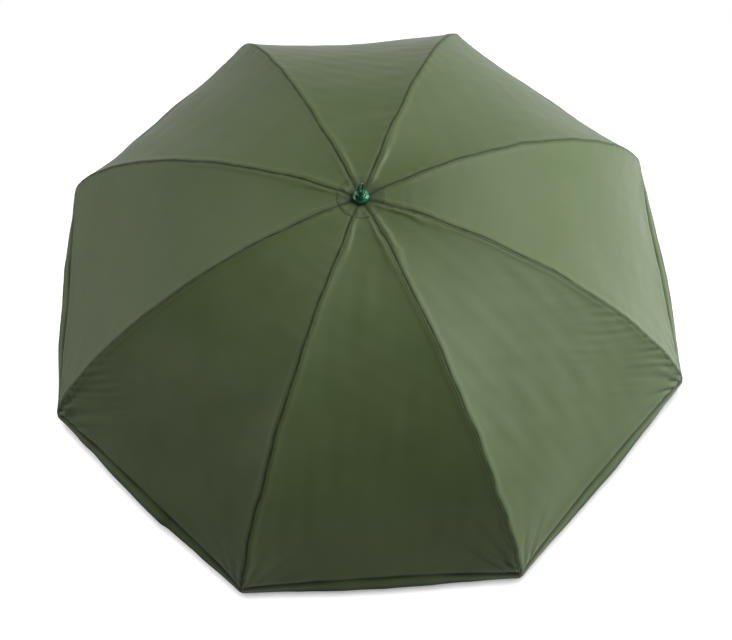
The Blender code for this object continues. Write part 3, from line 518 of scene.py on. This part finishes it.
cloth = cloth_material("canopy_cloth", srgb(84, 101, 57), srgb(90, 106, 64))
seam_cloth = cloth_material("seam_cloth", srgb(84, 101, 58), srgb(92, 108, 66), uv=None, gloss=0.3, sheen=0.15)
patch_cloth = cloth_material("patch_cloth", srgb(76, 91, 53), srgb(83, 98, 60))
thread = cloth_material("thread", srgb(58, 71, 41), srgb(66, 79, 49), uv=None, gloss=0.15, sheen=0.08)
finial_shine = (0.55, 1.0, 0.74)
green_plastic = plastic_material("finial_plastic", srgb(12, 74, 44), srgb(16, 82, 50), 0.11, 0.05, 1.85, finial_shine)
black_plastic = plastic_material("black_plastic", srgb(28, 29, 30), srgb(52, 53, 54), 0.42)
fibre = metal_material("rib_fibre", srgb(36, 37, 38), 0.34, (40, 40, 40), 0.0)
black_steel = metal_material("black_steel", srgb(30, 30, 31), 0.38, (60, 60, 60), 0.3)
bright_steel = metal_material("bright_steel", srgb(170, 172, 174), 0.26, (90, 90, 90))
aluminium = metal_material("pole_aluminium", srgb(178, 180, 182), 0.30, (900, 900, 6))
finishes = {
    "canopy_cloth": cloth,
    "patch_cloth": patch_cloth,
    "finial_plastic": green_plastic,
    "black_plastic": black_plastic,
    "rib_fibre": fibre,
    "black_steel": black_steel,
    "bright_steel": bright_steel,
    "pole_aluminium": aluminium,
}
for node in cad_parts.values():
    slot = node.data.materials[0].name.split(".")[0]
    node.data.materials.clear()
    node.data.materials.append(finishes[slot])


# Cloth gores, each turned under at its hem
def edge_spaced(count, power=1.6):
    """Places from -1 to 1 that lie closer together towards both ends."""
    even = np.linspace(-1, 1, count + 1)
    return np.sign(even) * (1 - (1 - np.abs(even)) ** power)


def gore_mesh(number):
    """One gore from the crown to its hem, then round the fold and back under it."""
    across = edge_spaced(gore_columns)
    inner_share = share_at_reach(panel_start_radius)
    coarse_end = 0.060
    fine = np.linspace(coarse_end, 0, 26)[1:]
    coarse = np.linspace(hem_distance(inner_share), coarse_end, gore_rows - 25)
    up = np.concatenate([coarse, fine])
    shares = share_from_hem(up)
    top = cloth_point(number, shares[:, None], across[None, :])
    turns = np.linspace(0, pi, hem_turns + 2)[1:-1]
    radius = cloth_thickness
    wrap, flat_rows = [], []
    edge_share = shares[-1]
    base = cloth_point(number, edge_share, across)
    inside = cloth_point(number, share_from_hem(0.002), across)
    outward = base - inside
    outward /= np.linalg.norm(outward, axis=-1, keepdims=True)
    normal = cloth_point(number, edge_share, across, 0.001) - base
    normal /= np.linalg.norm(normal, axis=-1, keepdims=True)
    for turn in turns:
        wrap.append(base + outward * radius * sin(turn) - normal * radius * (1 - cos(turn)))
        flat_rows.append(-radius * turn)
    back = np.linspace(0, hem_width - 0.001, 8)
    under = cloth_point(number, share_from_hem(back)[:, None], across[None, :], -2 * radius)
    points = np.concatenate([top, np.array(wrap), under])
    widths = curve_point(shares)[0] * sin(half_step)
    rows = np.concatenate([up, flat_rows, -radius * pi - back])
    sides = np.concatenate([widths, np.full(len(turns) + len(back), widths[-1])])
    flat = np.stack([across[None, :] * sides[:, None], np.repeat(rows[:, None], len(across), 1)], axis=-1)
    # Painted shade on the gore's top face only; the turned-under hem gets none
    painted_shade = np.zeros(points.shape[:2])
    painted_shade[: len(shares)] = painted_crease_shade(number, shares[:, None], across[None, :])
    return grid_mesh(f"cloth_gore_{number + 1}", points, flat, painted_shade=painted_shade)


def thicken(item, offset):
    """Cloth thickness, laid about the surface (0) or under it (-1)."""
    shell = item.modifiers.new("cloth", "SOLIDIFY")
    shell.thickness = cloth_thickness
    shell.offset = offset


def follow_gore(item):
    """Bakes a piece's placement into its mesh."""
    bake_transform(item)


# Threads as many short rounded stitches, laid on rows of points
def unit_stitch():
    """The points and faces of one short rounded stitch of six sides."""
    bm = bmesh.new()
    bmesh.ops.create_uvsphere(bm, u_segments=6, v_segments=4, radius=1)
    bm.verts.index_update()
    points = np.array([vertex.co[:] for vertex in bm.verts])
    faces = [[vertex.index for vertex in face.verts] for face in bm.faces]
    bm.free()
    return points, faces


stitch_points, stitch_faces = unit_stitch()


def stitch_mesh(name, *rows):
    """One stitch per pair of points, for rows of points and their outward directions."""
    points, faces = [], []
    for row, outward in rows:
        for start, end, up in zip(row[:-1:2], row[1::2], outward[:-1:2]):
            along = (end - start) / np.linalg.norm(end - start)
            side = np.cross(along, up)
            side /= np.linalg.norm(side)
            axes = np.stack([side * stitch_radius, np.cross(side, along) * stitch_radius, (end - start) / 2])
            first = len(points) * len(stitch_points)
            points.append((start + end) / 2 + stitch_points @ axes)
            faces += [[first + corner for corner in face] for face in stitch_faces]
    mesh = bpy.data.meshes.new(name)
    mesh.from_pydata(np.concatenate(points).tolist(), [], faces)
    mesh.shade_smooth()
    return mesh


def stitch_row(start, stop):
    """Ends of stitches along a row, as distances."""
    first = np.arange(start, stop - stitch_pitch, stitch_pitch)
    return np.stack([first, first + stitch_length], axis=-1).ravel()


for number in range(rib_count):
    gore = add_piece(f"cloth_gore_{number + 1}", gore_mesh(number), cloth)
    thicken(gore, 0)
    follow_gore(gore)
    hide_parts(f"canopy_panel_{number + 1}")

    ends = stitch_row(-hem_row_half_length, hem_row_half_length)
    across = ends / (rim_radius * sin(half_step))
    share = share_from_hem(hem_width - hem_row_inset)
    rows = cloth_point(number, share, across, 0.0005)
    out = cloth_point(number, share, across, 0.0015) - rows
    hem = add_piece(f"hem_stitches_{number + 1}", stitch_mesh("hem_stitches", (rows, out)), thread)
    follow_gore(hem)


# Felled seams over the ribs, each laid to one side, with two rows of stitches
seam_side = (-1, -1, -1, 1, 1, -1, -1, -1)


def seam_mesh(rib):
    """A flat rounded strip from the patch to the hem, closed at both ends."""
    up = np.linspace(rib_line_length - patch_radius - 0.001, seam_hem_gap, 300)
    shares = share_from_hem(up)
    profile = ((-0.5, -0.1), (-0.47, 0.55), (-0.36, 0.85), (-0.1, 0.8), (0.15, 0.8), (0.36, 0.85), (0.47, 0.55),
               (0.5, -0.1), (0.3, -0.25), (-0.3, -0.25))
    wander = 0.0004 * ripple(up, 300 + rib, 0.045)
    rows = []
    for across, height in profile:
        offset = across * seam_strip_width + seam_side[rib] * seam_strip_offset + wander
        rows.append(seam_point(rib, shares, offset, 0.0005 + height * 0.0012))
    points = np.stack(rows, axis=1)
    mesh = grid_mesh(f"felled_seam_{rib + 1}", points, loop=True)
    bm = bmesh.new()
    bm.from_mesh(mesh)
    edges = [edge for edge in bm.edges if edge.is_boundary]
    bmesh.ops.holes_fill(bm, edges=edges, sides=0)
    bmesh.ops.recalc_face_normals(bm, faces=bm.faces)
    bm.to_mesh(mesh)
    bm.free()
    return mesh


for rib in range(rib_count):
    seam = add_piece(f"felled_seam_{rib + 1}", seam_mesh(rib), seam_cloth)
    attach(seam, f"rib_{rib + 1}")
    ups = stitch_row(0.006, rib_line_length - patch_radius - 0.004)
    shares = share_from_hem(ups)
    rows = []
    for row in stitch_rows:
        offset = row + seam_side[rib] * seam_strip_offset
        points = seam_point(rib, shares, offset, 0.0015)
        rows.append((points, seam_point(rib, shares, offset, 0.0025) - points))
    stitches = add_piece(f"seam_stitches_{rib + 1}", stitch_mesh("seam_stitches", *rows), thread)
    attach(stitches, f"rib_{rib + 1}")


# Crown patch, a disc of cloth sewn over the gores' inner ends
def patch_mesh(number):
    """The share of the patch over one gore, lying in its seams."""
    angles = edge_spaced(24) * half_step
    edge_start = patch_radius - patch_edge_width
    radii = np.concatenate([np.linspace(patch_hole_radius, edge_start, 16),
                            np.linspace(patch_radius - 0.004, patch_radius, 5)])
    edge = np.clip((radii - edge_start) / patch_edge_width, 0, 1)[:, None]
    lift = patch_lift - 0.0008 * edge**2 - 0.0003 * bump(radii[:, None], patch_radius - 0.0055, 0.0012)
    across = np.tan(angles) / np.tan(half_step)
    share = share_at_reach(radii[:, None] * np.cos(angles) / cos(half_step))
    top = cloth_point(number, share, across, lift)
    # Painted shade: the seams' shade, and a dark band along the patch's raised edge
    painted_shade = np.maximum(0.8 * painted_crease_shade(number, share, across), 0.65 * edge**6)
    return grid_mesh(f"crown_patch_{number + 1}", top, top[..., :2], painted_shade=painted_shade)


for number in range(rib_count):
    patch = add_piece(f"crown_patch_{number + 1}", patch_mesh(number), patch_cloth)
    thicken(patch, -1)
    angles = np.linspace(-half_step, half_step, 2 * patch_stitches + 1)[:-1] + half_step / patch_stitches / 3
    across = np.tan(angles) / np.tan(half_step)
    share = share_at_reach((patch_radius - patch_stitch_inset) * np.cos(angles) / cos(half_step))
    points = cloth_point(number, share, across, patch_lift - 0.0001)
    out = cloth_point(number, share, across, patch_lift + 0.0009) - points
    row = add_piece(f"patch_stitches_{number + 1}", stitch_mesh("patch_stitches", (points, out)), thread)
    for piece in (patch, row):
        follow_gore(piece)
    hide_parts("crown_patch")


# Finial, moulded with an upright eye
def finished(bm, name):
    """The mesh of a closed solid, welded and smooth."""
    bmesh.ops.remove_doubles(bm, verts=bm.verts, dist=1e-6)
    bmesh.ops.recalc_face_normals(bm, faces=bm.faces)
    mesh = bpy.data.meshes.new(name)
    bm.to_mesh(mesh)
    bm.free()
    mesh.shade_smooth()
    return mesh


def turned_mesh(name, outline, sides):
    """A solid turned round the pole from an outline of radii and heights."""
    bm = bmesh.new()
    corners = [bm.verts.new((radius, 0, height)) for radius, height in outline]
    edges = [bm.edges.new(pair) for pair in zip(corners, corners[1:])]
    bmesh.ops.spin(bm, geom=corners + edges, cent=(0, 0, 0), axis=(0, 0, 1), angle=2 * pi, steps=sides,
                   use_merge=True)
    return finished(bm, name)


def rounded(points, radius, steps=5):
    """A line of (radius, height) points with its inner corners rounded."""
    line = [points[0]]
    for before, corner, after in zip(points, points[1:], points[2:]):
        before, corner, after = Vector(before), Vector(corner), Vector(after)
        size = min(radius, (before - corner).length * 0.45, (after - corner).length * 0.45)
        start = corner + (before - corner).normalized() * size
        end = corner + (after - corner).normalized() * size
        for step in range(steps + 1):
            share = step / steps
            line.append(tuple(start.lerp(corner, share).lerp(corner.lerp(end, share), share)))
    return line + [points[-1]]


def oval_ring(name, half_width, half_height, tube):
    """An upright closed ring of round section, swept along an oval."""
    curve = bpy.data.curves.new(name, "CURVE")
    curve.dimensions = "3D"
    curve.bevel_depth = tube
    curve.bevel_resolution = 5
    curve.resolution_u = 14
    spline = curve.splines.new("BEZIER")
    spline.bezier_points.add(3)
    spline.use_cyclic_u = True
    corners = ((half_width, 0), (0, half_height), (-half_width, 0), (0, -half_height))
    for point, (x, z) in zip(spline.bezier_points, corners):
        point.co = (x, 0, z)
        point.handle_left_type = point.handle_right_type = "AUTO"
    holder = bpy.data.objects.new(name, curve)
    bpy.context.scene.collection.objects.link(holder)
    bpy.context.view_layer.update()
    mesh = bpy.data.meshes.new_from_object(holder.evaluated_get(bpy.context.evaluated_depsgraph_get()))
    bpy.data.objects.remove(holder)
    bm = bmesh.new()
    bm.from_mesh(mesh)
    return finished(bm, name)


dome = [(0.0125 + 0.0135 * cos(t), finial_seat + 0.004 + 0.018 * sin(t)) for t in np.linspace(pi / 2, 0, 22)]
outline = rounded([(0, finial_seat + finial_neck_top), (0.0085, finial_seat + finial_neck_top),
                   (0.0092, finial_seat + 0.0262), (0.0118, finial_seat + 0.0222)], 0.0022)
outline += dome[1:]
outline += rounded([(0.026, finial_seat + 0.0038), (0.0262, finial_seat + 0.0015), (0.0258, finial_seat),
                    (0.024, finial_seat + 0.0001)], 0.0006, 3)
bore_end = finial_stud_top - finial_bore_depth
outline += [(finial_stud_radius, finial_seat - 0.0006), (finial_stud_radius, finial_stud_top),
            (finial_bore_radius, finial_stud_top), (finial_bore_radius, bore_end + 0.0005),
            (finial_bore_radius - 0.0005, bore_end), (0, bore_end)]
cap = add_piece("finial_cap", turned_mesh("finial_cap", outline, 72), green_plastic)
ring = oval_ring("finial_eye", eye_half_width, eye_half_height, eye_tube_radius)
ring.transform(Matrix.Translation((0, 0, finial_seat + eye_height)) @ Matrix.Rotation(eye_turn, 4, "Z"))
eye = add_piece("finial_eye", ring, green_plastic)
for piece in (cap, eye):
    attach(piece, "upper_pole")
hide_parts("finial")

# Floor, which shows only the soft shadow that the canopy throws on white
floor_mesh = bpy.data.meshes.new("floor")
bm = bmesh.new()
bmesh.ops.create_circle(bm, cap_ends=True, segments=96, radius=3.4)
bm.to_mesh(floor_mesh)
bm.free()
floor_finish, tree, shader = new_material("floor", (0.9, 0.9, 0.9), 1.0)
shader.inputs["Specular IOR Level"].default_value = 0
shader.inputs["Emission Color"].default_value = (1, 1, 1, 1)
paths = tree.nodes.new("ShaderNodeLightPath")
tree.links.new(remap(tree, paths.outputs["Is Camera Ray"], 0, 1, 0, 0.34), shader.inputs["Emission Strength"])
behind = tree.nodes.new("ShaderNodeNewGeometry").outputs["Backfacing"]
clear = tree.nodes.new("ShaderNodeBsdfTransparent")
either = tree.nodes.new("ShaderNodeMixShader")
tree.links.new(behind, either.inputs["Fac"])
tree.links.new(shader.outputs["BSDF"], either.inputs[1])
tree.links.new(clear.outputs["BSDF"], either.inputs[2])
tree.links.new(either.outputs["Shader"], tree.nodes["Material Output"].inputs["Surface"])
floor = add_piece("floor", floor_mesh, floor_finish)
floor.visible_diffuse = False
floor.visible_glossy = False

# Camera, looking down on the canopy from in front; its aim and distance are in rim radii
pitch, roll = radians(65), radians(-1.92)
look = Vector((0, cos(pitch), -sin(pitch)))
place = Vector((0.002 * rim_radius, -0.123 * rim_radius, rim_height)) - look * 3.123 * rim_radius
right, up = Vector((1, 0, 0)), Vector((0, sin(pitch), cos(pitch)))
across_axis = right * cos(roll) + up * sin(roll)
up_axis = up * cos(roll) - right * sin(roll)
camera_data = bpy.data.cameras.new("camera")
camera_data.lens = 50
camera_data.sensor_width = 36
camera = bpy.data.objects.new("camera", camera_data)
bpy.context.scene.collection.objects.link(camera)
camera.matrix_world = Matrix(
    [(across_axis[i], up_axis[i], -look[i], place[i]) for i in range(3)] + [(0, 0, 0, 1)]
)
bpy.context.scene.camera = camera


# Lamps round the canopy and the surroundings that metal mirrors
def area_lamp(name, position, target, width, height, power):
    data = bpy.data.lights.new(name, "AREA")
    data.shape = "RECTANGLE"
    data.size = width
    data.size_y = height
    data.energy = power
    item = bpy.data.objects.new(name, data)
    bpy.context.scene.collection.objects.link(item)
    item.location = position
    item.rotation_euler = (Vector(target) - Vector(position)).to_track_quat("-Z", "Y").to_euler()
    return item


def only_on(lamp, state):
    """Lets a lamp light only the floor, or everything but the floor."""
    group = bpy.data.collections.new(lamp.name + "_group")
    group.objects.link(floor)
    group.collection_objects[0].light_linking.link_state = state
    lamp.light_linking.receiver_collection = group
    return lamp


# Name, azimuth and elevation in degrees, distance, width and height in metres, power in watts
lamps = (
    ("right_low", 0, 10, 3.8, 2.4, 1.6, 58),
    ("right_high", 0, 40, 3.8, 2.2, 1.8, 70),
    ("right_over", 0, 65, 3.8, 1.8, 1.8, 20),
    ("right_under", 20, -25, 3.6, 2.4, 1.4, 11),
    ("front_right", -45, 40, 3.8, 2.2, 1.8, 6),
    ("back_right", 45, 40, 3.8, 2.2, 1.8, 40),
    ("back_left_low", 135, 10, 3.8, 2.4, 1.6, 6),
    ("back_left_high", 135, 40, 3.8, 2.2, 1.8, 26),
    ("left", 180, 10, 3.8, 2.4, 1.6, 37),
)
centre = Vector((0, 0, 2.1))
for name, azimuth, elevation, distance, width, height, power in lamps:
    level = cos(radians(elevation))
    towards = Vector((cos(radians(azimuth)) * level, sin(radians(azimuth)) * level, sin(radians(elevation))))
    lamp = only_on(area_lamp(name, centre + towards * distance, centre, width, height, power), "EXCLUDE")
    if name == "right_low":
        lamp.data.color = (0.84, 0.92, 1.0)
shade_from = place + up_axis * 0.082
only_on(area_lamp("shadow", shade_from, shade_from + look, 0.16, 0.16, 580), "INCLUDE")

world = bpy.data.worlds.new("surroundings")
bpy.context.scene.world = world
world.use_nodes = True
tree = world.node_tree
background = tree.nodes["Background"]
paths = tree.nodes.new("ShaderNodeLightPath")
way = tree.nodes.new("ShaderNodeSeparateXYZ")
tree.links.new(tree.nodes.new("ShaderNodeTexCoord").outputs["Generated"], way.inputs["Vector"])
from_below = remap(tree, way.outputs["Z"], -0.35, 0.0, 0.35, 0.0)
window = tree.nodes.new("ShaderNodeMath")
window.operation = "MULTIPLY"
tree.links.new(remap(tree, way.outputs["Z"], 0.1, 0.45, 1.0, 0.04), window.inputs[0])
tree.links.new(remap(tree, way.outputs["X"], -0.6, 0.8, 0.25, 1.1), window.inputs[1])
reflected = tree.nodes.new("ShaderNodeMix")
tree.links.new(paths.outputs["Is Glossy Ray"], reflected.inputs[0])
tree.links.new(from_below, reflected.inputs[2])
tree.links.new(window.outputs[0], reflected.inputs[3])
strength = tree.nodes.new("ShaderNodeMix")
tree.links.new(paths.outputs["Is Camera Ray"], strength.inputs[0])
tree.links.new(reflected.outputs[0], strength.inputs[2])
strength.inputs[3].default_value = 1.0
tree.links.new(strength.outputs[0], background.inputs["Strength"])
background.inputs["Color"].default_value = (1, 1, 1, 1)
bpy.context.scene.view_settings.view_transform = "Standard"
